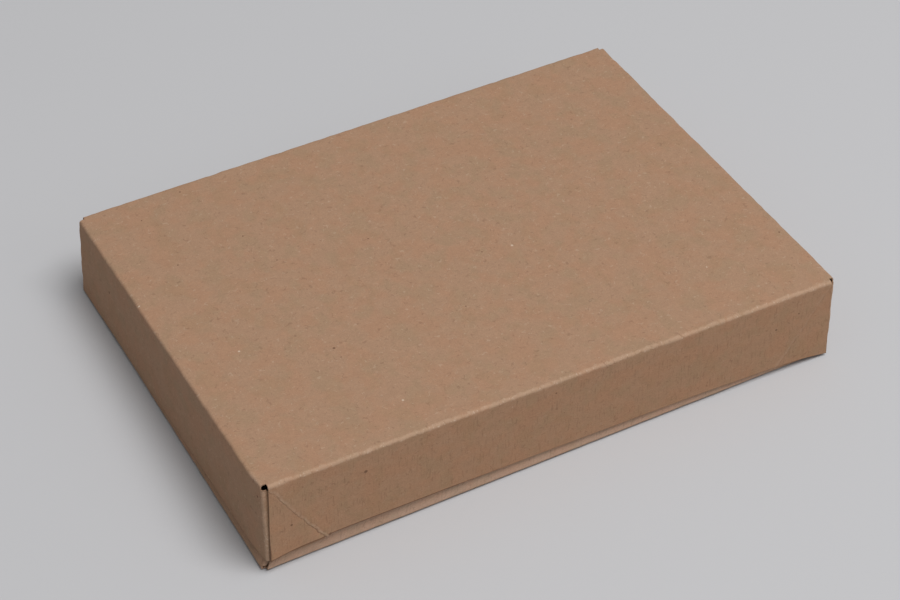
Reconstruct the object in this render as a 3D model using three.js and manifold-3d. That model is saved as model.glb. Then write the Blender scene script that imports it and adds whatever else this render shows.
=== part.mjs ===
// A two-piece apparel box in kraft paperboard: a shallow base, and a lid that slides down over it.
// Each piece is one die-cut blank, folded up with square corners. The short walls carry a glue tab at
// each end, which turns the corner and lies behind the long wall, so the long wall's end stays a free
// cut edge. A diagonal crease crosses each end of the long walls.
// Millimetres, +Z up. The origin is the centre of the base's underside, +X runs along the box.

import * as THREE from 'three';
import { mergeVertices } from 'three/addons/utils/BufferGeometryUtils.js';
import Module from 'manifold-3d';

// Board and folds
const boardThickness = 0.6;
const foldRadius = 1.1;
const foldSteps = 2;

// Base, measured outside its floor and walls
const baseLength = 296;
const baseWidth = 214.7;
const baseDepth = 41.9;

// Clearances between lid and base
const rimClearance = 0.35;
const wallClearance = 0.6;
const headroom = 2.1;

// Lid, measured outside its top and walls: its top is a little smaller than the base's floor.
const endStep = 0.5;
const sideStep = 0.1;
const lidLength = baseLength - 2 * endStep;
const lidWidth = baseWidth - 2 * sideStep;
const lidDepth = baseDepth + headroom;

// The lid sits a little towards +X on the base, with its front left corner not pressed home.
const lidShift = 2.2;
const frontLeftLift = 6.05;
const backRightLift = 0.25;

// Inside a corner the wall and its glue tab are this thick together.
const glueSink = 0.15;
const doubledWall = 2 * boardThickness - glueSink;

// How far the lid's walls splay outwards at the rim. Where the rim is pressed home it clears the base.
const lidSplay = {
  leftBack: endStep + lidShift + boardThickness + rimClearance,
  leftFront: 1.4,
  right: endStep - lidShift + boardThickness + rimClearance,
  frontLeft: 1.6,
  frontMiddle: 0.25,
  frontRight: sideStep + doubledWall + rimClearance,
  back: sideStep + doubledWall + rimClearance,
};

// How far the base's walls lean inwards: at the top of the toe that shows under the lid, and at the rim
const toeHeight = 6;
const baseLean = {
  left: { toe: 2.4, rim: endStep + lidShift + boardThickness + wallClearance },
  right: { toe: 0.9, rim: 1.2 },
  front: { toe: 1.2, rim: sideStep + doubledWall + wallClearance },
  back: { toe: 1.2, rim: sideStep + doubledWall + wallClearance },
};

// Corners
const cutEdgeInsetAtFold = 1.5;
const cutEdgeInsetAtRim = 0.8;
const cornerHoleRadius = 1.2;
const cornerHoleInset = 1;
const cornerHoleDepth = 2;
const tabMargin = 1;

// Creases and rims of the long walls
const creaseFoot = 31;
const creaseDepth = 0.2;
const rimTrim = 1.8;

// The finished sheets are divided this finely along the box, so that they can bend and twist.
const bendStep = 48;
const overshoot = 2;

const kraft = new THREE.MeshStandardMaterial({ color: 0xa78669, roughness: 0.9, metalness: 0 });
const kraftInside = new THREE.MeshStandardMaterial({ color: 0xa18166, roughness: 0.9, metalness: 0 });

const manifold = await Module();
manifold.setup();

// Turns a closed geometry into a solid that can be joined and cut.
function toSolid(geometry) {
  const bare = geometry.clone();
  bare.deleteAttribute('normal');
  bare.deleteAttribute('uv');
  const merged = mergeVertices(bare, 1e-5);
  return new manifold.Manifold(new manifold.Mesh({
    numProp: 3,
    vertProperties: new Float32Array(merged.attributes.position.array),
    triVerts: new Uint32Array(merged.index.array),
  }));
}

// Extrudes an outline between two heights.
function prism(shape, low, high) {
  const geometry = new THREE.ExtrudeGeometry(shape, {
    depth: high - low,
    bevelEnabled: false,
    curveSegments: foldSteps,
  });
  return geometry.translate(0, 0, low);
}

function polygon(points) {
  return new THREE.Shape(points.map(([x, y]) => new THREE.Vector2(x, y)));
}

// An outline drawn along the box and up, extruded across it.
function prismAcross(shape, halfWidth) {
  return prism(shape, -halfWidth, halfWidth).rotateX(Math.PI / 2);
}

// The section of a folded sheet: a panel at the top, a rounded fold at each side and two walls.
function channelSection(width, depth) {
  const side = width / 2;
  const inner = foldRadius - boardThickness;
  const shape = new THREE.Shape();
  shape.moveTo(-side, -depth);
  shape.lineTo(-side, -foldRadius);
  shape.absarc(-side + foldRadius, -foldRadius, foldRadius, Math.PI, Math.PI / 2, true);
  shape.lineTo(side - foldRadius, 0);
  shape.absarc(side - foldRadius, -foldRadius, foldRadius, Math.PI / 2, 0, true);
  shape.lineTo(side, -depth);
  shape.lineTo(side - boardThickness, -depth);
  shape.lineTo(side - boardThickness, -foldRadius);
  shape.absarc(side - foldRadius, -foldRadius, inner, 0, Math.PI / 2, false);
  shape.lineTo(-side + foldRadius, -boardThickness);
  shape.absarc(-side + foldRadius, -foldRadius, inner, Math.PI / 2, Math.PI, false);
  shape.lineTo(-side + boardThickness, -depth);
  return shape;
}

// Panel and long walls. The ends of the walls are cut at a slight angle, which opens the corner slit.
function longChannel(length, width, depth) {
  const reach = length / 2 - cutEdgeInsetAtRim / 2;
  const section = prism(channelSection(width, depth), -reach, reach);
  // From section axes to the box's: across, up, along becomes along, across, up.
  const upright = section.rotateX(Math.PI / 2).rotateZ(Math.PI / 2);
  let solid = toSolid(upright);
  for (const end of [-1, 1]) {
    const slant = polygon([
      [end * (length / 2 - cutEdgeInsetAtFold), 0],
      [end * (length / 2 - cutEdgeInsetAtFold), overshoot],
      [end * (length / 2 + overshoot), overshoot],
      [end * (length / 2 + overshoot), -depth - overshoot],
      [end * (length / 2 - cutEdgeInsetAtRim), -depth - overshoot],
    ]);
    solid = solid.subtract(toSolid(prismAcross(slant, width / 2 + overshoot)));
  }
  return solid;
}

// Where the rounded corner turns: its centre's distance from the middle, across the box.
function cornerCentre(width) {
  return width / 2 - boardThickness + glueSink - foldRadius;
}

// Short walls, with the panel between them.
function shortChannel(length, width, depth) {
  return toSolid(prismAcross(channelSection(length, depth), cornerCentre(width)));
}

// The rounded corner that carries a short wall into its glue tab.
function roundedCorner(length, width, depth) {
  const end = -length / 2;
  const centre = -cornerCentre(width);
  const inner = foldRadius - boardThickness;
  const lap = 4 * boardThickness;
  const shape = new THREE.Shape();
  shape.moveTo(end, centre + lap);
  shape.lineTo(end, centre);
  shape.absarc(end + foldRadius, centre, foldRadius, Math.PI, 1.5 * Math.PI, false);
  shape.lineTo(end + foldRadius + lap, centre - foldRadius);
  shape.lineTo(end + foldRadius + lap, centre - inner);
  shape.lineTo(end + foldRadius, centre - inner);
  shape.absarc(end + foldRadius, centre, inner, 1.5 * Math.PI, Math.PI, true);
  shape.lineTo(end + boardThickness, centre + lap);
  return prism(shape, -depth, -cornerHoleDepth);
}

// The glue tab behind the long wall. It ends along the diagonal crease.
function glueTab(length, width, depth) {
  const end = -length / 2 + foldRadius;
  const tab = polygon([
    [end, -cornerHoleDepth - tabMargin],
    [end, -depth + tabMargin],
    [end + creaseFoot - 3 * tabMargin, -depth + tabMargin],
    [end + tabMargin, -cornerHoleDepth - tabMargin],
  ]);
  const face = -width / 2 + boardThickness - glueSink;
  return prism(tab, 0, boardThickness).rotateX(Math.PI / 2).translate(0, face + boardThickness, 0);
}

// The same piece at all four corners of a tray, mirrored where needed by turning its faces over.
function atFourCorners(geometry) {
  const solid = toSolid(geometry);
  const pair = solid.add(solid.mirror([1, 0, 0]));
  return pair.add(pair.mirror([0, 1, 0]));
}

// The bar that presses one diagonal crease into the outside of a long wall.
function creaseBar(length, width, depth) {
  const head = new THREE.Vector2(-length / 2 + cutEdgeInsetAtFold, -cornerHoleDepth);
  const foot = new THREE.Vector2(-length / 2 + creaseFoot, -depth - overshoot / 2);
  const along = foot.clone().sub(head);
  const middle = head.clone().add(foot).multiplyScalar(0.5);
  const side = creaseDepth * Math.SQRT2;
  return new THREE.BoxGeometry(along.length(), side, side)
    .rotateX(Math.PI / 4)
    .rotateY(-along.angle())
    .translate(middle.x, -width / 2, middle.y);
}

// A long wall's rim is cut higher between the feet of its creases.
function rimCut(length, width, depth) {
  const end = length / 2;
  const foot = end - creaseFoot;
  const cut = polygon([
    [-end, -depth],
    [-foot, -depth + rimTrim],
    [foot, -depth + rimTrim],
    [end, -depth],
    [end, -depth - overshoot],
    [-end, -depth - overshoot],
  ]);
  const reach = 2 * boardThickness;
  return [-1, 1].map((side) => toSolid(prismAcross(cut, reach).translate(0, side * width / 2, 0)));
}

// One blank folded into a tray, panel up, with the panel's outer face at height 0.
function foldedTray({ length, width, depth }) {
  const relief = new THREE.CylinderGeometry(
    cornerHoleRadius, cornerHoleRadius, cornerHoleDepth + overshoot, 8 * foldSteps,
  );
  relief.rotateX(Math.PI / 2);
  relief.translate(-length / 2 + cornerHoleInset, -width / 2 + cornerHoleInset, (overshoot - cornerHoleDepth) / 2);
  let tray = longChannel(length, width, depth);
  for (const cut of rimCut(length, width, depth)) {
    tray = tray.subtract(cut);
  }
  tray = tray.subtract(atFourCorners(creaseBar(length, width, depth)));
  tray = tray.add(shortChannel(length, width, depth));
  tray = tray.add(atFourCorners(roundedCorner(length, width, depth)));
  tray = tray.add(atFourCorners(glueTab(length, width, depth)));
  return tray.subtract(atFourCorners(relief));
}

// Splits every triangle that crosses the plane axis = level, so that the sheet can bend there.
function divideAt(mesh, axis, level) {
  const near = 1e-3;
  const offset = (i) => mesh.points[i][axis] - level;
  const cuts = new Map();
  const cutEdge = (a, b) => {
    const key = a < b ? `${a} ${b}` : `${b} ${a}`;
    if (!cuts.has(key)) {
      const [low, high] = a < b ? [a, b] : [b, a];
      const share = offset(low) / (offset(low) - offset(high));
      const point = mesh.points[low].map((value, k) => value + share * (mesh.points[high][k] - value));
      point[axis] = level;
      cuts.set(key, mesh.points.push(point) - 1);
    }
    return cuts.get(key);
  };
  const crosses = (a, b) => {
    const [first, second] = [offset(a), offset(b)];
    return Math.abs(first) > near && Math.abs(second) > near && first * second < 0;
  };
  const triangles = [];
  for (const [a, b, c] of mesh.triangles) {
    const corners = [a, b, c];
    const ring = [];
    corners.forEach((corner, k) => {
      ring.push(corner);
      const next = corners[(k + 1) % 3];
      if (crosses(corner, next)) {
        ring.push(cutEdge(corner, next));
      }
    });
    if (ring.length === 3) {
      triangles.push(ring);
      continue;
    }
    // Start the ring at a cut point, then split it along the plane.
    const first = ring.findIndex((corner) => !corners.includes(corner));
    const turned = ring.map((corner, k) => ring[(first + k) % ring.length]);
    if (turned.length === 4) {
      triangles.push([turned[0], turned[1], turned[2]], [turned[0], turned[2], turned[3]]);
      continue;
    }
    const second = turned.findIndex((corner, k) => k > 0 && !corners.includes(corner));
    const sides = [turned.slice(0, second + 1), [...turned.slice(second), turned[0]]];
    for (const side of sides) {
      for (let k = 1; k < side.length - 1; k += 1) {
        triangles.push([side[0], side[k], side[k + 1]]);
      }
    }
  }
  mesh.triangles = triangles;
}

// Divides a tray into steps along the box and, at the given heights, up its walls.
function dividedTray(tray, length, heights) {
  const { vertProperties, triVerts } = tray.getMesh();
  const points = [];
  for (let k = 0; k < vertProperties.length; k += 3) {
    points.push([vertProperties[k], vertProperties[k + 1], vertProperties[k + 2]]);
  }
  const triangles = [];
  for (let k = 0; k < triVerts.length; k += 3) {
    triangles.push([triVerts[k], triVerts[k + 1], triVerts[k + 2]]);
  }
  const mesh = { points, triangles };
  const count = Math.round(length / bendStep);
  for (let k = 1; k < count; k += 1) {
    divideAt(mesh, 0, length * (k / count - 0.5));
  }
  for (const height of heights) {
    divideAt(mesh, 2, height);
  }
  return mesh;
}

// Builds the finished geometry, with each point moved by place(x, y, distance from the panel's face).
function bentGeometry(mesh, place) {
  const geometry = new THREE.BufferGeometry();
  const moved = mesh.points.flatMap(([x, y, z]) => place(x, y, -z));
  geometry.setAttribute('position', new THREE.Float32BufferAttribute(moved, 3));
  geometry.setIndex(mesh.triangles.flat());
  geometry.computeVertexNormals();
  return geometry;
}

// The lid, twisted by its raised corner, with its walls splayed.
function lidGeometry() {
  const size = { length: lidLength, width: lidWidth, depth: lidDepth };
  const mesh = dividedTray(foldedTray(size), lidLength, []);
  const pressedHome = lidDepth + rimClearance;
  const splay = lidSplay;
  return bentGeometry(mesh, (x, y, down) => {
    const right = 0.5 + x / lidLength;
    const back = 0.5 + y / lidWidth;
    const left = 1 - right;
    const front = 1 - back;
    const share = down / lidDepth;
    const height = pressedHome + right * back * backRightLift + left * front * frontLeftLift;
    const leftSplay = back * splay.leftBack + front * splay.leftFront;
    const frontEnds = left * splay.frontLeft + right * splay.frontRight;
    const bow = (frontEnds - splay.frontMiddle) * 4 * left * right;
    return [
      x + share * (right * splay.right - left * leftSplay),
      y + share * (back * splay.back - front * (frontEnds - bow)),
      height - down,
    ];
  });
}

// How far one of the base's walls has leaned in at a height above the floor.
function leanAt(height, { toe, rim }) {
  const toeShare = THREE.MathUtils.clamp((height - foldRadius) / (toeHeight - foldRadius), 0, 1);
  const wallShare = THREE.MathUtils.clamp((height - toeHeight) / (baseDepth - toeHeight), 0, 1);
  return toe * toeShare + (rim - toe) * wallShare;
}

// The base: the same fold turned panel down, with its walls leaning in under the lid.
function baseGeometry() {
  const size = { length: baseLength, width: baseWidth, depth: baseDepth };
  const mesh = dividedTray(foldedTray(size), baseLength, [-toeHeight]);
  return bentGeometry(mesh, (x, across, height) => {
    const y = -across;
    const right = 0.5 + x / baseLength;
    const back = 0.5 + y / baseWidth;
    return [
      x + (1 - right) * leanAt(height, baseLean.left) - right * leanAt(height, baseLean.right),
      y + (1 - back) * leanAt(height, baseLean.front) - back * leanAt(height, baseLean.back),
      height,
    ];
  });
}

const base = new THREE.Mesh(baseGeometry(), kraftInside);
base.name = 'base';

const lid = new THREE.Mesh(lidGeometry(), kraft);
lid.name = 'lid';
lid.position.x = lidShift;

const group = new THREE.Group();
group.add(base, lid);

export default group;
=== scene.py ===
"""A two-piece apparel box in kraft paperboard: a shallow base, and a lid that slides down over it.

Each piece is one die-cut blank folded up with square corners. Sizes are in metres, +Z up, with the
origin at the centre of the base's underside and +X along the box.
"""

import math

import bmesh
import bpy
from bpy.props import FloatProperty, FloatVectorProperty, PointerProperty
from bpy.types import Operator, Panel, PropertyGroup
from mathutils import Matrix, Vector, noise


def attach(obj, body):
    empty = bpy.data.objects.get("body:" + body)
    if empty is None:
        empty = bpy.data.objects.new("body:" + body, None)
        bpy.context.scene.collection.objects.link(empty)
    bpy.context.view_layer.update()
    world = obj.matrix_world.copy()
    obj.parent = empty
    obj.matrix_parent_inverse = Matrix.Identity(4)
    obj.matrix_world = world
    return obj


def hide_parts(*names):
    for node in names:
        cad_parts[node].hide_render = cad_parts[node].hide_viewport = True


bl_info = {
    "name": "Apparel Box",
    "version": (1, 0, 0),
    "blender": (4, 5, 0),
    "location": "3D View > Sidebar > Apparel Box",
    "description": "Builds a two-piece apparel box in kraft paperboard, with its stage",
    "category": "Add Mesh",
}

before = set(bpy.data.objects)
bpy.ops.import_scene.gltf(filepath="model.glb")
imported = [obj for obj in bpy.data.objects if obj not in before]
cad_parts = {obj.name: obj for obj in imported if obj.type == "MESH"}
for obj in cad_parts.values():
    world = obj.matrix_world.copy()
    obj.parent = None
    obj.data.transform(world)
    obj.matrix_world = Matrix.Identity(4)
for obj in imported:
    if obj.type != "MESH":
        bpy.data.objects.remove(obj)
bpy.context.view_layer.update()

MM = 0.001
FAR = 99.0

# Cells round a fold, cells round a corner, and the share of a glue tab's steps that turn its corner
FOLD_STEPS = 5
CORNER_STEPS = 4
TURN_SHARE = 1.0 / 3.0

# How far in from its ends a long and a short panel's mesh is fine: the long one's covers the creases
LONG_FINE_REACH = 34 * MM
SHORT_FINE_REACH = 6 * MM

# The rim's step, as shares of the way to the crease's foot, and how the rim drops towards the right
STEP_START = 0.98
STEP_WIDTH = 0.05
RIGHT_STEP_SHARE = 0.3
RIGHT_DROP_SHARE = 0.22
RIGHT_DROP_START = 70 * MM
RIGHT_DROP_REACH = 50 * MM

# The seed of all drift, so that each run gives the same box, and the drifts' wavelengths and places
DRIFT_SEED = 7
LID_WAVE = 26 * MM
LID_PLACE = 3.1
LID_SAG_WAVE = 70 * MM
LID_SAG_PLACE = 8.3
LID_FOLD_PLACE = 2.2
BASE_WAVE = 28 * MM
BASE_PLACE = 5.9
BASE_FOLD_PLACE = 6.4
FOLD_WAVE = 7 * MM
FINE_FOLD_WAVE = 3.5 * MM

# How far the sags fade in from the folds, and how far the tuck of the front left corner reaches
LID_SAG_EDGE = 40 * MM
BASE_SAG_EDGE = 35 * MM
TUCK_REACH_BACK = 14 * MM
TUCK_REACH_ALONG = 24 * MM


def length_property(name, millimetres, description):
    """A size in metres, with its default given in millimetres."""
    return FloatProperty(
        name=name,
        description=description,
        default=millimetres * MM,
        unit="LENGTH",
        precision=5,
    )


def colour_property(name, colour, description):
    """A colour in linear light."""
    return FloatVectorProperty(
        name=name,
        description=description,
        default=colour,
        size=3,
        min=0.0,
        max=1.0,
        subtype="COLOR",
    )


def place_property(name, place, description):
    """A point in metres."""
    return FloatVectorProperty(
        name=name,
        description=description,
        default=place,
        size=3,
        precision=5,
        subtype="TRANSLATION",
    )


def number_property(name, value, description, unit="NONE"):
    """Any other number."""
    return FloatProperty(name=name, description=description, default=value, unit=unit, precision=4)


class BoardSettings(PropertyGroup):
    """The board and how finely its sheet is divided."""

    thickness: length_property("Thickness", 0.6, "Thickness of the board")
    fold_radius: length_property("Fold Radius", 0.85, "Outer radius of every fold")
    cell: length_property("Cell", 3.0, "Largest cell of the sheet's mesh")
    fine_cell: length_property("Fine Cell", 1.2, "Cell of the mesh on the walls and near the corners")
    waviness: length_property("Waviness", 0.11, "How far the folded board strays from true")
    fold_wander: length_property("Fold Wander", 0.22, "How far a fold wanders from its line")
    tab_gap: length_property("Tab Gap", 0.5, "Gap between a glue tab and its wall, at the corner")


class CornerSettings(PropertyGroup):
    """The cuts and creases at each corner of a blank."""

    cut_inset_at_fold: length_property("Cut Inset at Fold", 2.2, "Long wall's end, at the panel")
    cut_inset_at_rim: length_property("Cut Inset at Rim", 0.8, "Long wall's end, at the rim")
    hole_radius: length_property("Hole Radius", 0.88, "Radius of the relief hole at the corner")
    hole_inset: length_property("Hole Inset", 1.0, "Hole's centre, in from both edges")
    hole_depth: length_property("Hole Depth", 2.0, "How far the hole reaches down the walls")
    crease_foot: length_property("Crease Foot", 31.0, "Where the diagonal crease meets the rim")
    rim_trim: length_property("Rim Trim", 3.5, "How much shorter the long walls are between creases")
    rim_step: length_property("Rim Step", 1.0, "Step in the rim at the crease's foot")
    tab_margin: length_property("Tab Margin", 1.0, "How far the glue tab stops short of the wall's edges")


class BaseSettings(PropertyGroup):
    """The base, measured outside its floor and walls."""

    length: length_property("Length", 296.0, "Length along X")
    width: length_property("Width", 214.7, "Width along Y")
    depth: length_property("Depth", 41.9, "Height of the walls")
    toe_height: length_property("Toe Height", 6.0, "Height of the strip that shows under the lid")
    lean_left_toe: length_property("Left Lean at Toe", 2.4, "Inward lean of the left wall, low down")
    lean_left_rim: length_property("Left Lean at Rim", 3.9, "Inward lean of the left wall, at the rim")
    lean_right_toe: length_property("Right Lean at Toe", 0.9, "Inward lean of the right wall, low down")
    lean_right_rim: length_property("Right Lean at Rim", 1.2, "Inward lean of the right wall, at the rim")
    lean_long_toe: length_property("Long Lean at Toe", 1.2, "Long walls' inward lean, low in the middle")
    lean_end_toe: length_property("Long Lean at Ends", 0.8, "Long walls' inward lean, low at the ends")
    lean_long_rim: length_property("Long Lean at Rim", 2.1, "Inward lean of the long walls, at the rim")
    floor_sag: length_property("Floor Sag", 0.9, "How far the floor panel sinks; it rests there")


class LidSettings(PropertyGroup):
    """The lid, and how it sits on the base."""

    length: length_property("Length", 295.0, "Length along X")
    width: length_property("Width", 214.5, "Width along Y")
    depth: length_property("Depth", 44.0, "Depth of the walls")
    rim_clearance: length_property("Rim Clearance", 0.35, "Rim's height over the floor")
    shift: length_property("Shift", 2.2, "How far the lid sits towards +X")
    front_left_lift: length_property("Front Left Lift", 6.05, "How far the front left corner is raised")
    back_right_lift: length_property("Back Right Lift", 0.25, "How far the back right corner is raised")
    splay_left_back: length_property("Left Splay, Back", 2.6, "Left wall's splay at the back")
    splay_left_front: length_property("Left Splay, Front", 1.4, "Left wall's splay at the front")
    splay_right: length_property("Right Splay", -0.75, "Right wall's splay")
    splay_front_left: length_property("Front Splay, Left", 1.6, "Front wall's splay at its left end")
    splay_front_middle: length_property("Front Splay, Middle", 0.25, "Front wall's splay at its middle")
    splay_front_right: length_property("Front Splay, Right", 1.5, "Front wall's splay at its right end")
    splay_back: length_property("Back Splay", 1.5, "Back wall's splay")
    sag: length_property("Sag", 0.35, "How far the top sinks between its folds")
    corner_tuck: length_property("Corner Tuck", 1.0, "How far the front left corner is pressed in")
    flap_left: length_property("Left Flap", 0.45, "How far the wall stands out past the left crease")
    flap_right: length_property("Right Flap", 0.1, "How far the wall stands out past the right crease")


class FinishSettings(PropertyGroup):
    """Kraft board: its tones, its wear, and the colours that paint light and shade on it."""

    lid_colour: colour_property("Lid", (0.394, 0.242, 0.155), "Lid's board")
    # Painted light: a warmer, deeper tint on the lid's long walls stands in for inter-reflected light on
    # them.
    lid_wall_light_tint: colour_property("Lid Wall Tint", (1.0, 0.96, 0.91), "Tint of the lid's long walls")
    # Painted light: the base's long walls take a paler tone than the board's own, for the lit strip under
    # the lid; the base tint brings the floor and short walls back to the board's own tone.
    base_painted_light_colour: colour_property("Base", (0.490, 0.326, 0.234), "Base's board, on its long walls")
    base_tint: colour_property("Base Tint", (0.84, 0.78, 0.72), "Tint of the base's floor and short walls")
    no_tint: colour_property("No Tint", (1.0, 1.0, 1.0), "Leaves a colour as it is")
    warm_tint: colour_property("Warm Tint", (1.0, 0.955, 0.935), "Tint of the warmer blotches")
    green_tint: colour_property("Green Tint", (0.948, 0.985, 0.97), "Tint of the greener blotches")
    # Dark fibres and specks; also painted shade on the crease lines and the rim's shadow line at the
    # front's left end.
    dark_fibre_and_shade_colour: colour_property("Dark Fibre", (0.150, 0.080, 0.048), "Dark fibres and specks")
    pale_colour: colour_property("Pale Fibre", (0.640, 0.500, 0.380), "Pale specks and bare fibre")
    # Real wear along the folds; also the painted highlight above the diagonal creases.
    worn_and_highlight_colour: colour_property("Worn Fold", (0.520, 0.360, 0.255), "Board rubbed along a fold")
    # Painted shade: the colour that darkens every cut edge as if it lay in shadow.
    cut_edge_shade_colour: colour_property("Cut Edge", (0.250, 0.150, 0.095), "Cut edge of the board")
    roughness: FloatProperty(
        name="Roughness", description="Roughness of the board", default=0.88, min=0.0, max=1.0
    )


class StageSettings(PropertyGroup):
    """Floor, light and camera."""

    floor_colour: colour_property("Floor", (0.560, 0.560, 0.574), "Floor's colour")
    floor_size: number_property("Floor Size", 8.0, "Side of the floor", "LENGTH")
    sky_level: number_property("Sky", 0.26, "Level of the even light")
    key_power: number_property("Key", 125.0, "Power of the lamp above", "POWER")
    key_size: number_property("Key Size", 2.2, "Side of the lamp above", "LENGTH")
    key_place: place_property("Key Place", (0.8, -1.35, 3.7), "Where the lamp above hangs")
    fill_power: number_property("Fill", 6.0, "Power of the front lamp", "POWER")
    fill_size: number_property("Fill Size", 1.6, "Side of the front lamp", "LENGTH")
    fill_place: place_property("Fill Place", (1.3, -2.7, 1.9), "Where the front lamp stands")
    lens: number_property("Lens", 94.246, "Focal length in millimetres")
    aim: place_property("Aim", (0.00811, 0.01232, 0.0), "Point at the middle of the view")
    distance: number_property("Distance", 1.1654, "From the camera to the aim", "LENGTH")
    azimuth: number_property("Azimuth", math.radians(-27.224), "Turn about Z", "ROTATION")
    elevation: number_property("Elevation", math.radians(41.429), "Rise over the floor", "ROTATION")
    roll: number_property("Roll", math.radians(-1.074), "Turn about the view axis", "ROTATION")


class ApparelBoxSettings(PropertyGroup):
    """All settings of the box."""

    board: PointerProperty(name="Board", description="The board", type=BoardSettings)
    corner: PointerProperty(name="Corners", description="Corner cuts and creases", type=CornerSettings)
    base: PointerProperty(name="Base", description="The base", type=BaseSettings)
    lid: PointerProperty(name="Lid", description="The lid", type=LidSettings)
    finish: PointerProperty(name="Finish", description="Tones and wear", type=FinishSettings)
    stage: PointerProperty(name="Stage", description="Floor, light and camera", type=StageSettings)


# Small sums

def clamp(value, low=0.0, high=1.0):
    return max(low, min(high, value))


def smooth(value):
    share = clamp(value)
    return share * share * (3.0 - 2.0 * share)


def spaced(low, high, step):
    """Even stops from low to high, no further apart than step."""
    count = max(1, math.ceil((high - low) / step - 1e-6))
    return [low + (high - low) * k / count for k in range(count + 1)]


def mirrored_stops(insets, half, fine_reach, fine, coarse):
    """Stops across a panel: close together near both ends, further apart between."""
    near = [half - inset for inset in insets]
    inner = half - fine_reach
    near += spaced(inner, near[-1], fine)[-2::-1] if inner < near[-1] else []
    middle = spaced(-near[-1], near[-1], coarse)
    return [-stop for stop in near[:-1]] + middle + near[-2::-1]


# The folded sheet

class Tray:
    """The outer face of one blank folded into a tray, panel up.

    A point is x, y and its distance down from the panel. Marks go with it: its place on the flat
    blank, and its distance from the nearest fold, cut edge and crease, in millimetres.
    """

    def __init__(self, board, corner, length, width, depth):
        self.board = board
        self.corner = corner
        self.half_length = length / 2
        self.half_width = width / 2
        self.depth = depth
        self.radius = board.fold_radius
        self.tab_face = self.half_width - board.thickness - board.tab_gap
        self.turn = self.tab_face - self.radius
        self.fold_middle = self.radius * math.pi / 4
        self.mesh = bmesh.new()
        layers = self.mesh.verts.layers.float_vector
        self.blank_layer = layers.new("blank")
        self.wear_layer = layers.new("wear")

    def add_patch(self, rows, columns, point):
        """Adds a grid of cells, with point(row, column) giving each corner's place and marks."""
        grid = []
        for row in rows:
            line = []
            for column in columns:
                place, blank, wear = point(row, column)
                vertex = self.mesh.verts.new(place)
                vertex[self.blank_layer] = blank
                vertex[self.wear_layer] = wear
                line.append(vertex)
            grid.append(line)
        for low, high in zip(grid, grid[1:]):
            for k in range(len(columns) - 1):
                self.mesh.faces.new((low[k], low[k + 1], high[k + 1], high[k]))

    def fold_stops(self):
        """Distances round a fold, then down the wall."""
        round_fold = [self.radius * math.pi / 2 * k / FOLD_STEPS for k in range(FOLD_STEPS)]
        start = self.radius * math.pi / 2
        hole = start + self.corner.hole_depth - self.radius
        foot = start + self.depth - self.radius
        return round_fold + [start] + spaced(hole, foot, self.board.fine_cell)

    def over_fold(self, travelled):
        """Outward and downward steps after travelling this far over a fold."""
        angle = clamp(travelled / self.radius, 0.0, math.pi / 2)
        straight = max(0.0, travelled - self.radius * math.pi / 2)
        out = self.radius * (math.sin(angle) - 1.0)
        down = self.radius * (1.0 - math.cos(angle)) + straight
        return out, down

    def cut_inset(self, down):
        share = clamp(down / self.depth)
        return self.corner.cut_inset_at_fold * (1 - share) + self.corner.cut_inset_at_rim * share

    def rim_trim(self, x):
        """How much higher the long wall's rim is cut here, with a small step at the crease's foot."""
        inset = (self.half_length - abs(x)) / self.corner.crease_foot
        share = clamp(inset)
        past_foot = smooth((inset - STEP_START) / STEP_WIDTH)
        step = self.corner.rim_step * (1.0 if x < 0 else RIGHT_STEP_SHARE)
        right = smooth((x - RIGHT_DROP_START) / RIGHT_DROP_REACH)
        trim = self.corner.rim_trim * (1.0 - RIGHT_DROP_SHARE * right)
        return trim * (1.0 - (1.0 - share) ** 2) - step * (share ** 5) * (1.0 - past_foot)

    def crease_distance(self, x, down):
        """Distance from the diagonal crease, growing towards the middle of the wall."""
        head = Vector((self.corner.cut_inset_at_fold, self.corner.hole_depth))
        foot = Vector((self.corner.crease_foot, self.depth + MM))
        along = (foot - head).normalized()
        offset = Vector((self.half_length - abs(x), down)) - head
        return (offset.x * along.y - offset.y * along.x) / MM

    def panel_point(self, y, x):
        fold = min(self.half_length - abs(x), self.half_width - abs(y)) / MM
        return (x, y, 0.0), (x, y, 0.0), (max(fold - 0.2, 0.0), self.hole_rim(x, y), FAR)

    def hole_rim(self, x, y):
        inset = self.corner.hole_inset
        gap = math.hypot(self.half_length - abs(x) - inset, self.half_width - abs(y) - inset)
        return abs(gap - self.corner.hole_radius) / MM

    def long_wall_point(self, side, travelled, x):
        out, down = self.over_fold(travelled)
        end = self.half_length - self.corner.cut_inset_at_fold
        widened = 1.0 + (self.corner.cut_inset_at_fold - self.cut_inset(down)) / end
        x = x * widened if down > self.radius else x * (1.0 + (widened - 1.0) * down / self.radius)
        if down > self.radius:
            reach = self.depth - self.radius
            down = self.radius + (down - self.radius) * (reach - self.rim_trim(x)) / reach
        rim = (self.depth - self.rim_trim(x) - down) / MM
        end_cut = (self.half_length - self.cut_inset(down) - abs(x)) / MM
        blank_v = side * (self.half_width - self.radius + travelled)
        fold = abs(travelled - self.fold_middle) / MM
        place = (x, side * (self.half_width + out), down)
        return place, (x, blank_v, 0.0), (fold, min(rim, end_cut), self.crease_distance(x, down))

    def short_wall_point(self, side, travelled, y):
        out, down = self.over_fold(travelled)
        fold = abs(travelled - self.fold_middle) / MM
        if down > self.corner.hole_depth:
            fold = min(fold, (self.turn + self.fold_middle - abs(y)) / MM)
        rim = (self.depth - down) / MM
        if down <= self.corner.hole_depth + 1e-6:
            rim = min(rim, self.hole_rim(self.half_length + out, y), (self.turn - abs(y)) / MM + 0.3)
        blank_u = side * (self.half_length - self.radius + travelled)
        return (side * (self.half_length + out), y, down), (blank_u, y, 0.0), (fold, rim, FAR)

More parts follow.
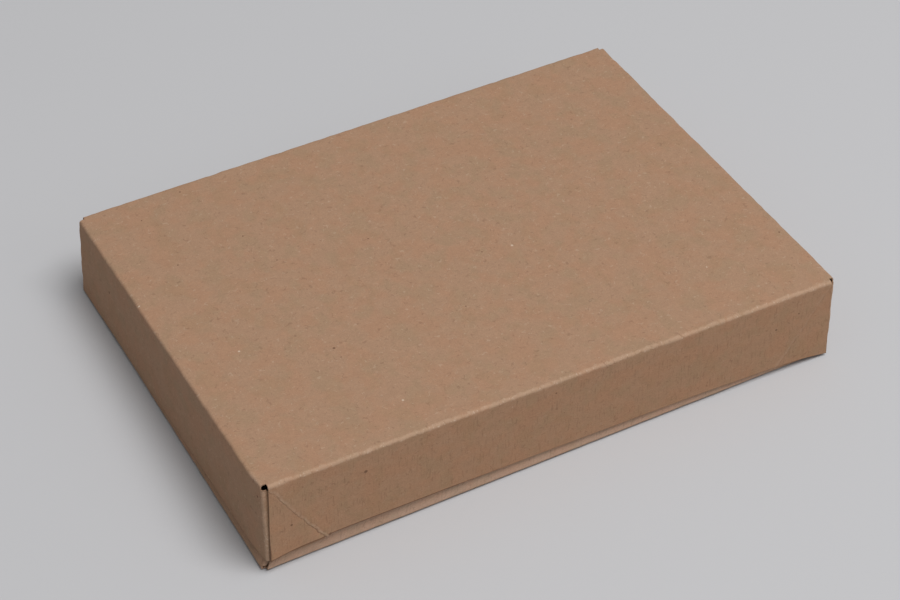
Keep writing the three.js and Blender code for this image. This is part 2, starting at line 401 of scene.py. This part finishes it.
    def tab_point(self, side, end, travelled, step):
        """Round the corner, then along the glue tab behind the long wall."""
        _, down = self.over_fold(travelled)
        margin = self.corner.tab_margin
        top = self.corner.hole_depth
        share = clamp((down - top) / (self.depth - margin - top))
        reach = margin + share * (self.corner.crease_foot - 4 * margin)
        down = top + (down - top) * (self.depth - top - margin * step) / (self.depth - top)
        angle = clamp(step / TURN_SHARE) * math.pi / 2
        past = clamp((step - TURN_SHARE) / (1.0 - TURN_SHARE)) * reach
        x = self.half_length - self.radius * (1.0 - math.cos(angle)) - past
        y = self.turn + self.radius * math.sin(angle)
        blank_u = side * (self.half_length - self.radius + travelled)
        blank_v = end * (self.turn + self.radius * angle + past)
        fold = abs(self.radius * angle + past - self.fold_middle) / MM
        rim = min(self.depth - down, down - top, reach - past) / MM
        return (side * x, end * y, down), (blank_u, blank_v, 0.0), (fold, rim, FAR)

    def fold_up(self):
        """Makes the panel, the four walls and the four glue tabs, and joins them."""
        board = self.board
        corner = self.corner
        first = corner.cut_inset_at_fold
        insets = [self.radius, first, first + 0.4 * MM, first + 0.9 * MM]
        fine = board.fine_cell
        columns = mirrored_stops(insets, self.half_length, LONG_FINE_REACH, fine, board.cell)
        turn_inset = self.half_width - self.turn
        insets = [self.radius, turn_inset, turn_inset + 0.4 * MM, turn_inset + 0.9 * MM]
        lines = mirrored_stops(insets, self.half_width, SHORT_FINE_REACH, fine, board.cell)
        self.add_patch(lines, columns, self.panel_point)
        stops = self.fold_stops()
        for side in (-1, 1):
            self.add_patch(stops, columns[1:-1], lambda s, x: self.long_wall_point(side, s, x))
            self.add_patch(stops, lines[1:-1], lambda s, y: self.short_wall_point(side, s, y))
        # The corner turns below the relief hole.
        lower = stops[FOLD_STEPS + 1:]
        turn = [TURN_SHARE * k / CORNER_STEPS for k in range(CORNER_STEPS)]
        steps = turn + spaced(TURN_SHARE, 1.0, TURN_SHARE / 8.0)
        for side in (-1, 1):
            for end in (-1, 1):
                self.add_patch(lower, steps, lambda s, k: self.tab_point(side, end, s, k))
        self.open_holes()
        bmesh.ops.remove_doubles(self.mesh, verts=self.mesh.verts, dist=0.002 * MM)
        bmesh.ops.recalc_face_normals(self.mesh, faces=self.mesh.faces)
        self.mesh.faces.ensure_lookup_table()
        panel = min(self.mesh.faces, key=lambda face: face.calc_center_median().length)
        if panel.normal.z > 0:
            bmesh.ops.reverse_faces(self.mesh, faces=self.mesh.faces)

    def open_holes(self):
        """Cuts the relief holes and rounds their edges."""
        corner = self.corner

        def hole_offset(place):
            centre = Vector((
                math.copysign(self.half_length - corner.hole_inset, place.x),
                math.copysign(self.half_width - corner.hole_inset, place.y),
            ))
            return centre, Vector((place.x, place.y)) - centre

        inside = []
        for face in self.mesh.faces:
            middle = face.calc_center_median()
            if middle.z < corner.hole_depth and hole_offset(middle)[1].length < corner.hole_radius:
                inside.append(face)
        bmesh.ops.delete(self.mesh, geom=inside, context="FACES")
        for vertex in self.mesh.verts:
            if vertex.co.z > corner.hole_depth - 1e-6:
                continue
            centre, offset = hole_offset(vertex.co)
            if 0.3 * MM < offset.length < corner.hole_radius:
                placed = centre + offset.normalized() * corner.hole_radius
                low_x = min(abs(placed.x), self.half_length)
                low_y = min(abs(placed.y), self.half_width)
                vertex.co.x = math.copysign(low_x, placed.x)
                vertex.co.y = math.copysign(low_y, placed.y)

    def bend(self, settle):
        """Moves every point from the true tray to where the worn one stands."""
        noise.seed_set(DRIFT_SEED)
        for vertex in self.mesh.verts:
            vertex.co = settle(vertex.co, vertex[self.wear_layer])

    def to_object(self, name, material):
        """Gives the sheet the board's thickness, inwards, and returns it as an object."""
        mesh = bpy.data.meshes.new(name + "_sheet")
        self.mesh.to_mesh(mesh)
        self.mesh.free()
        piece = bpy.data.objects.new(name, mesh)
        bpy.context.scene.collection.objects.link(piece)
        solidify = piece.modifiers.new("Board", "SOLIDIFY")
        solidify.thickness = self.board.thickness
        solidify.offset = -1.0
        solidify.use_even_offset = True
        bpy.context.view_layer.update()
        solid = bpy.data.meshes.new_from_object(
            piece.evaluated_get(bpy.context.evaluated_depsgraph_get()))
        piece.modifiers.clear()
        piece.data = solid
        bpy.data.meshes.remove(mesh)
        solid.name = name
        solid.shade_smooth()
        solid.set_sharp_from_angle(angle=math.radians(40))
        solid.materials.append(material)
        return piece


def stray(place, wave, seed):
    """A slow, even drift of the board: three numbers between -1 and 1."""
    return noise.noise_vector(Vector(place) / wave + Vector((seed, 1.7 * seed, -seed)))


def fold_stray(place, fold, board, seed):
    """A fold's own small wandering, which fades a few millimetres away from it."""
    near = 1.0 - smooth(abs(fold) / 4.0)
    drift = stray(place, FOLD_WAVE, seed) + 0.8 * stray(place, FINE_FOLD_WAVE, seed + 4.0)
    return drift * (near * board.fold_wander)


def crease_relief(distance):
    """The diagonal crease: pressed in along its line, with a soft swell on its inner side."""
    groove = -0.16 * math.exp(-(distance / 0.9) ** 2)
    swell = 0.14 * math.exp(-((distance - 2.4) / 1.8) ** 2)
    return (groove + swell) * MM


# Kraft board

class Shade:
    """A shader socket that can be used in sums."""

    def __init__(self, recipe, socket):
        self.recipe = recipe
        self.socket = socket

    def math(self, operation, *values):
        return self.recipe.node("ShaderNodeMath", {"operation": operation}, dict(enumerate(values)))

    def __add__(self, other):
        return self.math("ADD", self, other)

    __radd__ = __add__

    def __sub__(self, other):
        return self.math("SUBTRACT", self, other)

    def __rsub__(self, other):
        return self.math("SUBTRACT", other, self)

    def __mul__(self, other):
        return self.math("MULTIPLY", self, other)

    __rmul__ = __mul__

    def __truediv__(self, other):
        return self.math("DIVIDE", self, other)

    def __rtruediv__(self, other):
        return self.math("DIVIDE", other, self)

    def __abs__(self):
        return self.math("ABSOLUTE", self)


class Recipe:
    """The node tree of one finish."""

    def __init__(self, name):
        self.material = bpy.data.materials.new(name)
        self.material.use_nodes = True
        self.tree = self.material.node_tree
        self.tree.nodes.clear()

    def node(self, kind, settings=None, inputs=None, output=0):
        """Adds a node: its settings first, then its sockets' values or links."""
        node = self.tree.nodes.new(kind)
        for key, value in (settings or {}).items():
            setattr(node, key, value)
        for key, value in (inputs or {}).items():
            socket = node.inputs[key]
            if isinstance(value, Shade):
                self.tree.links.new(value.socket, socket)
            elif socket.type == "RGBA":
                socket.default_value = (*value, 1.0)
            else:
                socket.default_value = value
        return Shade(self, node.outputs[output]) if node.outputs else node

    def band(self, value, low, high):
        """Rises smoothly from 0 at low to 1 at high, or falls where low is the larger."""
        start, end = (low, high) if low < high else (high, low)
        rising = self.node(
            "ShaderNodeMapRange",
            {"interpolation_type": "SMOOTHSTEP"},
            {0: value, 1: start, 2: end, 3: 0.0, 4: 1.0},
        )
        return rising if low < high else 1.0 - rising

    def mix(self, share, first, second, blend="MIX"):
        """Blends two colours."""
        settings = {"data_type": "RGBA", "blend_type": blend}
        return self.node("ShaderNodeMix", settings, {0: share, 6: first, 7: second}, 2)

    def stretch(self, vector, scale):
        return self.node("ShaderNodeVectorMath", {"operation": "MULTIPLY"}, {0: vector, 1: scale})

    def split(self, vector):
        return [self.node("ShaderNodeSeparateXYZ", None, {0: vector}, axis) for axis in range(3)]

    def cloud(self, vector, scale, detail=2.0, roughness=0.5):
        inputs = {"Vector": vector, "Scale": scale, "Detail": detail, "Roughness": roughness}
        return self.node("ShaderNodeTexNoise", None, inputs)

    def distance(self, vector, point):
        return self.node("ShaderNodeVectorMath", {"operation": "DISTANCE"}, {0: vector, 1: point}, 1)

    def specks(self, vector, spacing, share, radius):
        """Round specks: one in some of the cells of a random lattice."""
        inputs = {"Vector": vector, "Scale": 1.0 / spacing, "Randomness": 1.0}
        near = self.node("ShaderNodeTexVoronoi", None, inputs, "Distance")
        tint = self.node("ShaderNodeTexVoronoi", None, inputs, "Color")
        chance, size, _ = self.split(tint)
        reach = (0.45 + 0.55 * size) * (radius / spacing)
        spot = self.band(near / reach, 1.25, 0.55)
        return spot * self.band(chance, share + 0.01, share - 0.01)

    def threads(self, vector, scale, cover):
        """Short curled fibres: thin level lines of a cloud, kept only here and there."""
        line = self.band(abs(self.cloud(vector, scale, 1.0, 0.5) - 0.5), 0.03, 0.006)
        return line * self.band(self.cloud(vector, scale * 1.7, 1.0, 0.5), cover, cover + 0.05)


def kraft_finish(name, finish, tones, marks):
    """Kraft board: blotches, streaks, specks, rubbed folds, and cut edges and pressed creases with painted
    shade and highlight.

    The tones are the board's colour, its tint away from the long walls, and its tint on them; the
    difference between the long walls and the rest is painted light. Places on the blank are in
    millimetres.
    """
    ground, rest_light_tint, wall_light_tint = (tuple(tone) for tone in tones)
    recipe = Recipe(name)
    blank = recipe.node("ShaderNodeAttribute", {"attribute_name": "blank"}, None, "Vector")
    flat = recipe.stretch(blank, (1000.0, 1000.0, 1000.0))
    wear = recipe.node("ShaderNodeAttribute", {"attribute_name": "wear"}, None, "Vector")
    fold, edge, crease = recipe.split(wear)

    warm = recipe.cloud(flat, 0.07, 3.0, 0.55)
    green = recipe.cloud(recipe.stretch(flat, (1.0, -0.8, 1.0)), 0.09, 3.0, 0.55)
    blotch = recipe.cloud(flat, 0.22, 2.0, 0.5)
    grain = recipe.cloud(flat, 0.75, 3.0, 0.65)
    fine = recipe.cloud(flat, 1.9, 2.0, 0.6)
    streak = recipe.cloud(recipe.stretch(flat, (1.1, 0.12, 1.0)), 1.0, 3.0, 0.6)

    even = (1.0, 1.0, 1.0)
    warmth = recipe.mix(recipe.band(warm, 0.44, 0.6), even, tuple(finish.warm_tint))
    colour = recipe.mix(1.0, ground, warmth, "MULTIPLY")
    greenness = recipe.mix(recipe.band(green, 0.46, 0.62), even, tuple(finish.green_tint))
    colour = recipe.mix(1.0, colour, greenness, "MULTIPLY")
    along, across, _ = recipe.split(flat)
    long_wall = recipe.band(abs(across), 105.5, 108.5)
    shade = 1.0 + (grain - 0.5) * 0.3 + (fine - 0.5) * 0.4
    shade = shade + (blotch - 0.5) * 0.16 + (warm - 0.5) * 0.1
    thread = recipe.band(streak, 0.53, 0.75)
    shade = shade - thread * (0.02 + 0.2 * long_wall)
    colour = recipe.node(
        "ShaderNodeVectorMath", {"operation": "SCALE"}, {0: colour, "Scale": shade}
    )

    # Painted light: the long walls take a different tone from the rest.
    tint = recipe.mix(long_wall, rest_light_tint, wall_light_tint)
    colour = recipe.mix(1.0, colour, tint, "MULTIPLY")

    # The fold along the front is the most rubbed.
    front = recipe.band(across, -92.0, -100.0)
    rub_noise = recipe.cloud(flat, 0.35, 4.0, 0.7)
    rub = recipe.band(fold + (rub_noise - 0.5) * 4.0, 1.2, 0.1) * (0.12 + 0.88 * front)
    bare = recipe.band(recipe.cloud(flat, 0.9, 3.0, 0.75), 0.57, 0.7) * recipe.band(fold, 1.4, 0.3)
    bare = bare * (0.3 + 0.7 * front)
    colour = recipe.mix(rub * 0.44, colour, tuple(finish.worn_and_highlight_colour))
    colour = recipe.mix(bare * 0.8, colour, tuple(finish.pale_colour))

    dark_thread = recipe.threads(flat, 0.21, 0.57)
    pale_thread = recipe.threads(recipe.stretch(flat, (-1.0, 1.1, 1.0)), 0.23, 0.58)
    colour = recipe.mix(dark_thread * 0.26, colour, tuple(finish.dark_fibre_and_shade_colour))
    colour = recipe.mix(pale_thread * 0.2 * (1.0 - 0.6 * long_wall), colour, tuple(finish.pale_colour))
    dark_speck = recipe.specks(flat, 9.0, 0.2, 0.42)
    small_speck = recipe.specks(recipe.stretch(flat, (1.0, 0.8, 1.0)), 4.2, 0.32, 0.42)
    small_pale = recipe.specks(recipe.stretch(flat, (0.9, 1.0, 1.0)), 5.0, 0.25, 0.4)
    pale_speck = recipe.specks(flat, 13.0, 0.08, 0.5)
    colour = recipe.mix(dark_speck * 0.55, colour, tuple(finish.dark_fibre_and_shade_colour))
    colour = recipe.mix(small_speck * 0.28, colour, tuple(finish.dark_fibre_and_shade_colour))
    colour = recipe.mix(small_pale * 0.14, colour, tuple(finish.pale_colour))
    colour = recipe.mix(pale_speck * 0.45, colour, tuple(finish.pale_colour))
    for u, v, radius, tone in marks:
        spot = recipe.band(recipe.distance(flat, (u, v, 0.0)), radius * 1.5, radius * 0.7)
        paint = finish.pale_colour if tone == "pale" else finish.dark_fibre_and_shade_colour
        colour = recipe.mix(spot * 0.8, colour, tuple(paint))

    # Painted shadow: at the front's left end a wider, darker band along the rim stands in for the shadow
    # line under the lid's rim.
    painted_rim_shadow = recipe.band(across, -100.0, -106.0) * recipe.band(along, -10.0, -60.0)
    painted_rim_shadow = painted_rim_shadow * recipe.band(fold, 30.0, 38.0)
    # Painted shade: every cut edge, round the holes and at the corners' slits too, is darkened.
    cut = recipe.band(edge * (1.0 - 0.6 * painted_rim_shadow), 0.3, 0.05)
    colour = recipe.mix(cut * 0.8, colour, tuple(finish.cut_edge_shade_colour))
    colour = recipe.mix(cut * painted_rim_shadow * 0.75, colour, tuple(finish.dark_fibre_and_shade_colour))
    # The crease wanders a little. Its line is darkened as painted shade and the swell above it lightened
    # as painted highlight, strongest at its foot and towards the left end.
    wrinkle = recipe.cloud(flat, 0.5, 3.0, 0.6)
    wander = crease + (recipe.cloud(flat, 0.14, 2.0, 0.5) - 0.5) * 3.0 + (wrinkle - 0.5) * 0.8
    crease_line_shade = recipe.band(abs(wander), 0.6, 0.1)
    crease_swell_highlight = recipe.band(abs(wander - 0.9), 1.1, 0.2)
    foot = recipe.band(fold, 22.0, 38.0)
    left_end = recipe.band(along, 60.0, -60.0)
    strength = (0.35 + 0.65 * recipe.band(wrinkle, 0.4, 0.6)) * (0.6 + 0.4 * foot)
    strength = strength * (0.45 + 0.55 * left_end)
    colour = recipe.mix(crease_swell_highlight * strength * 0.6, colour, tuple(finish.worn_and_highlight_colour))
    colour = recipe.mix(crease_line_shade * strength * 0.45, colour, tuple(finish.dark_fibre_and_shade_colour))

    relief = (grain - 0.5) * 0.04 + (fine - 0.5) * 0.03 + (streak - 0.5) * 0.04
    relief = relief - crease_line_shade * strength * 0.2
    relief = relief + (wrinkle - 0.5) * recipe.band(abs(crease), 5.0, 0.5) * 0.14
    relief = relief + (rub_noise - 0.5) * recipe.band(fold, 2.5, 0.5) * 0.1
    normal = recipe.node("ShaderNodeBump", None, {"Strength": 1.0, "Distance": MM, "Height": relief})
    roughness = finish.roughness + (grain - 0.5) * 0.12
    surface = recipe.node(
        "ShaderNodeBsdfPrincipled",
        None,
        {"Base Color": colour, "Roughness": roughness, "Specular IOR Level": 0.12, "Normal": normal},
    )
    recipe.node("ShaderNodeOutputMaterial", None, {"Surface": surface})
    return recipe.material


# The pieces

# Specks and scuffs on the lid: place on the blank, radius, all in millimetres, and tone
LID_MARKS = (
    (26.3, -13.7, 0.55, "pale"),
    (-69.0, -86.0, 0.5, "pale"),
    (-119.3, -21.0, 0.5, "pale"),
    (-80.6, -39.9, 0.6, "dark"),
    (-119.4, 49.9, 0.4, "dark"),
    (-83.5, 54.9, 0.4, "dark"),
    (-76.8, 30.3, 0.35, "dark"),
    (-96.4, 102.0, 0.45, "dark"),
    (-98.4, -119.0, 0.8, "dark"),
    (-135.2, -134.6, 0.55, "dark"),
    (-3.1, -113.6, 0.4, "dark"),
    (-165.5, 68.3, 0.7, "dark"),
    (-155.1, -102.4, 0.6, "dark"),
    (-146.9, 30.6, 0.4, "pale"),
    (-121.5, 90.3, 0.35, "dark"),
    (-31.7, 23.9, 0.4, "dark"),
    (-80.4, -47.0, 0.3, "dark"),
    (11.4, -11.2, 0.35, "dark"),
    (-14.1, -42.6, 0.35, "dark"),
    (99.3, -71.4, 0.35, "pale"),
    (115.8, -125.1, 0.5, "dark"),
    (128.0, -119.5, 0.35, "dark"),
    (144.0, -65.8, 0.4, "dark"),
    (-116.8, -150.0, 0.7, "dark"),
)


class BOX_OT_fold_lid(Operator):
    """Folds the lid and sets it on the base"""

    bl_idname = "apparel_box.fold_lid"
    bl_label = "Fold Lid"

    def execute(self, context):
        settings = context.scene.apparel_box
        lid = settings.lid
        board = settings.board
        tray = Tray(board, settings.corner, lid.length, lid.width, lid.depth)
        tray.fold_up()

        def settle(place, wear):
            x, y, down = place
            right = 0.5 + x / lid.length
            back = 0.5 + y / lid.width
            left = 1.0 - right
            front = 1.0 - back
            share = down / lid.depth
            height = lid.depth + lid.rim_clearance
            height += right * back * lid.back_right_lift + left * front * lid.front_left_lift
            left_splay = back * lid.splay_left_back + front * lid.splay_left_front
            front_ends = left * lid.splay_front_left + right * lid.splay_front_right
            bow = (front_ends - lid.splay_front_middle) * 4.0 * left * right
            across = share * (back * lid.splay_back - front * (front_ends - bow))
            along = share * (right * lid.splay_right - left * left_splay)
            near_corner = smooth(1.0 - (0.5 * lid.width + y) / TUCK_REACH_BACK)
            near_corner *= smooth(1.0 - (0.5 * lid.length + x) / TUCK_REACH_ALONG)
            along += lid.corner_tuck * near_corner
            drift = stray(place, LID_WAVE, LID_PLACE) * board.waviness
            sag = 0.0
            if down < 1e-6:
                inside = smooth((0.5 * lid.width - abs(y)) / LID_SAG_EDGE)
                inside *= smooth((0.5 * lid.length - abs(x)) / LID_SAG_EDGE)
                sag = lid.sag * inside * (0.6 + stray(place, LID_SAG_WAVE, LID_SAG_PLACE).z)
            if wear.z < FAR - 1.0:
                flap = (lid.flap_left if x < 0 else lid.flap_right) * smooth(-wear.z / 1.5) * share
                flap *= smooth((0.5 * lid.length - abs(x)) / settings.corner.crease_foot)
                relief = crease_relief(wear.z) * (1.0 if x < 0 else 0.5)
                across += math.copysign(relief + flap, y)
            drift += fold_stray(place, wear.x, board, LID_FOLD_PLACE)
            return Vector((x + along + lid.shift, y + across, height - down - sag)) + drift

        tray.bend(settle)
        finish = settings.finish
        # Painted light: the lid's long walls are tinted warmer than its top and short walls.
        tones = (finish.lid_colour, finish.no_tint, finish.lid_wall_light_tint)
        material = kraft_finish("kraft_lid", finish, tones, LID_MARKS)
        piece = tray.to_object("lid_board", material)
        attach(piece, "lid")
        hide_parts("lid")
        return {"FINISHED"}


class BOX_OT_fold_base(Operator):
    """Folds the base, panel down"""

    bl_idname = "apparel_box.fold_base"
    bl_label = "Fold Base"

    def execute(self, context):
        settings = context.scene.apparel_box
        base = settings.base
        board = settings.board
        tray = Tray(board, settings.corner, base.length, base.width, base.depth)
        tray.fold_up()

        def lean(height, toe, rim):
            low = clamp((height - board.fold_radius) / (base.toe_height - board.fold_radius))
            high = clamp((height - base.toe_height) / (base.depth - base.toe_height))
            return toe * low + (rim - toe) * high

        def settle(place, wear):
            x, across, height = place
            y = -across
            right = 0.5 + x / base.length
            back = 0.5 + y / base.width
            along = (1.0 - right) * lean(height, base.lean_left_toe, base.lean_left_rim)
            along -= right * lean(height, base.lean_right_toe, base.lean_right_rim)
            bow = 4.0 * right * (1.0 - right)
            toe = base.lean_end_toe + (base.lean_long_toe - base.lean_end_toe) * bow
            inward = (1.0 - 2.0 * back) * lean(height, toe, base.lean_long_rim)
            if wear.z < FAR - 1.0:
                inward += math.copysign(crease_relief(wear.z), y)
            drift = stray((x, y, height), BASE_WAVE, BASE_PLACE) * board.waviness
            drift *= smooth(height / (6 * MM))
            # The folds that the base stands on wander upwards only.
            wander = fold_stray(place, wear.x, board, BASE_FOLD_PLACE) * 0.5
            wander.z = abs(wander.z)
            sag = 0.0
            if height < 1e-6:
                inside = smooth((0.5 * base.width - abs(y)) / BASE_SAG_EDGE)
                inside *= smooth((0.5 * base.length - abs(x)) / BASE_SAG_EDGE)
                sag = base.floor_sag * inside
            return Vector((x + along, y + inward, height - sag)) + drift + wander

        tray.bend(settle)
        bmesh.ops.reverse_faces(tray.mesh, faces=tray.mesh.faces)
        finish = settings.finish
        # Painted light: the base's long walls are paler than its floor and short walls.
        tones = (finish.base_painted_light_colour, finish.base_tint, finish.no_tint)
        material = kraft_finish("kraft_base", finish, tones, ())
        piece = tray.to_object("base_board", material)
        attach(piece, "base")
        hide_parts("base")
        return {"FINISHED"}


class BOX_OT_set_stage(Operator):
    """Lays the floor, hangs the lamps and stands the camera"""

    bl_idname = "apparel_box.set_stage"
    bl_label = "Set Stage"

    def execute(self, context):
        stage = context.scene.apparel_box.stage
        self.lay_floor(context, stage)
        self.light(context, stage)
        self.stand_camera(context, stage)
        context.scene.view_settings.view_transform = "Standard"
        return {"FINISHED"}

    def lay_floor(self, context, stage):
        grid = bmesh.new()
        bmesh.ops.create_grid(grid, x_segments=8, y_segments=8, size=stage.floor_size / 2)
        mesh = bpy.data.meshes.new("floor")
        grid.to_mesh(mesh)
        grid.free()
        floor = bpy.data.objects.new("floor", mesh)
        floor.location.z = -context.scene.apparel_box.base.floor_sag
        context.scene.collection.objects.link(floor)
        recipe = Recipe("floor_paper")
        surface = recipe.node(
            "ShaderNodeBsdfPrincipled",
            None,
            {"Base Color": tuple(stage.floor_colour), "Roughness": 0.95, "Specular IOR Level": 0.1},
        )
        recipe.node("ShaderNodeOutputMaterial", None, {"Surface": surface})
        mesh.materials.append(recipe.material)

    def light(self, context, stage):
        world = bpy.data.worlds.new("sky")
        world.use_nodes = True
        background = world.node_tree.nodes["Background"]
        background.inputs["Color"].default_value = (1.0, 1.0, 1.0, 1.0)
        background.inputs["Strength"].default_value = stage.sky_level
        context.scene.world = world
        self.hang_lamp(context, "key", stage.key_place, stage.key_size, stage.key_power)
        self.hang_lamp(context, "fill", stage.fill_place, stage.fill_size, stage.fill_power)

    def hang_lamp(self, context, name, place, size, power):
        lamp = bpy.data.lights.new(name, "AREA")
        lamp.shape = "SQUARE"
        lamp.size = size
        lamp.energy = power
        hung = bpy.data.objects.new(name, lamp)
        hung.location = place
        hung.rotation_euler = (-Vector(place)).to_track_quat("-Z", "Y").to_euler()
        context.scene.collection.objects.link(hung)

    def stand_camera(self, context, stage):
        turn = stage.azimuth
        rise = stage.elevation
        back = Vector((
            math.sin(turn) * math.cos(rise),
            -math.cos(turn) * math.cos(rise),
            math.sin(rise),
        ))
        level = Vector((math.cos(turn), math.sin(turn), 0.0))
        above = back.cross(level)
        right = level * math.cos(stage.roll) + above * math.sin(stage.roll)
        up = above * math.cos(stage.roll) - level * math.sin(stage.roll)
        place = Vector(stage.aim) + back * stage.distance
        lens = bpy.data.cameras.new("camera")
        lens.lens = stage.lens
        lens.sensor_width = 36.0
        lens.sensor_fit = "HORIZONTAL"
        lens.clip_start = 0.01
        camera = bpy.data.objects.new("camera", lens)
        camera.matrix_world = Matrix((
            (right.x, up.x, back.x, place.x),
            (right.y, up.y, back.y, place.y),
            (right.z, up.z, back.z, place.z),
            (0.0, 0.0, 0.0, 1.0),
        ))
        context.scene.collection.objects.link(camera)
        context.scene.camera = camera


class BOX_PT_sidebar(Panel):
    """Lists the box's settings and steps"""

    bl_label = "Apparel Box"
    bl_idname = "BOX_PT_sidebar"
    bl_space_type = "VIEW_3D"
    bl_region_type = "UI"
    bl_category = "Apparel Box"

    def draw(self, context):
        settings = context.scene.apparel_box
        for part in ("board", "corner", "base", "lid", "finish", "stage"):
            group = getattr(settings, part)
            column = self.layout.box().column(align=True)
            column.label(text=part.capitalize())
            for key in group.bl_rna.properties.keys():
                if key not in ("rna_type", "name"):
                    column.prop(group, key)
        for step in (BOX_OT_fold_base, BOX_OT_fold_lid, BOX_OT_set_stage):
            self.layout.operator(step.bl_idname)


CLASSES = (
    BoardSettings,
    CornerSettings,
    BaseSettings,
    LidSettings,
    FinishSettings,
    StageSettings,
    ApparelBoxSettings,
    BOX_OT_fold_lid,
    BOX_OT_fold_base,
    BOX_OT_set_stage,
    BOX_PT_sidebar,
)


def register():
    for kind in CLASSES:
        bpy.utils.register_class(kind)
    bpy.types.Scene.apparel_box = PointerProperty(type=ApparelBoxSettings)


def unregister():
    del bpy.types.Scene.apparel_box
    for kind in reversed(CLASSES):
        bpy.utils.unregister_class(kind)


def main():
    register()
    bpy.ops.apparel_box.fold_base()
    bpy.ops.apparel_box.fold_lid()
    bpy.ops.apparel_box.set_stage()


if __name__ == "__main__":
    main()
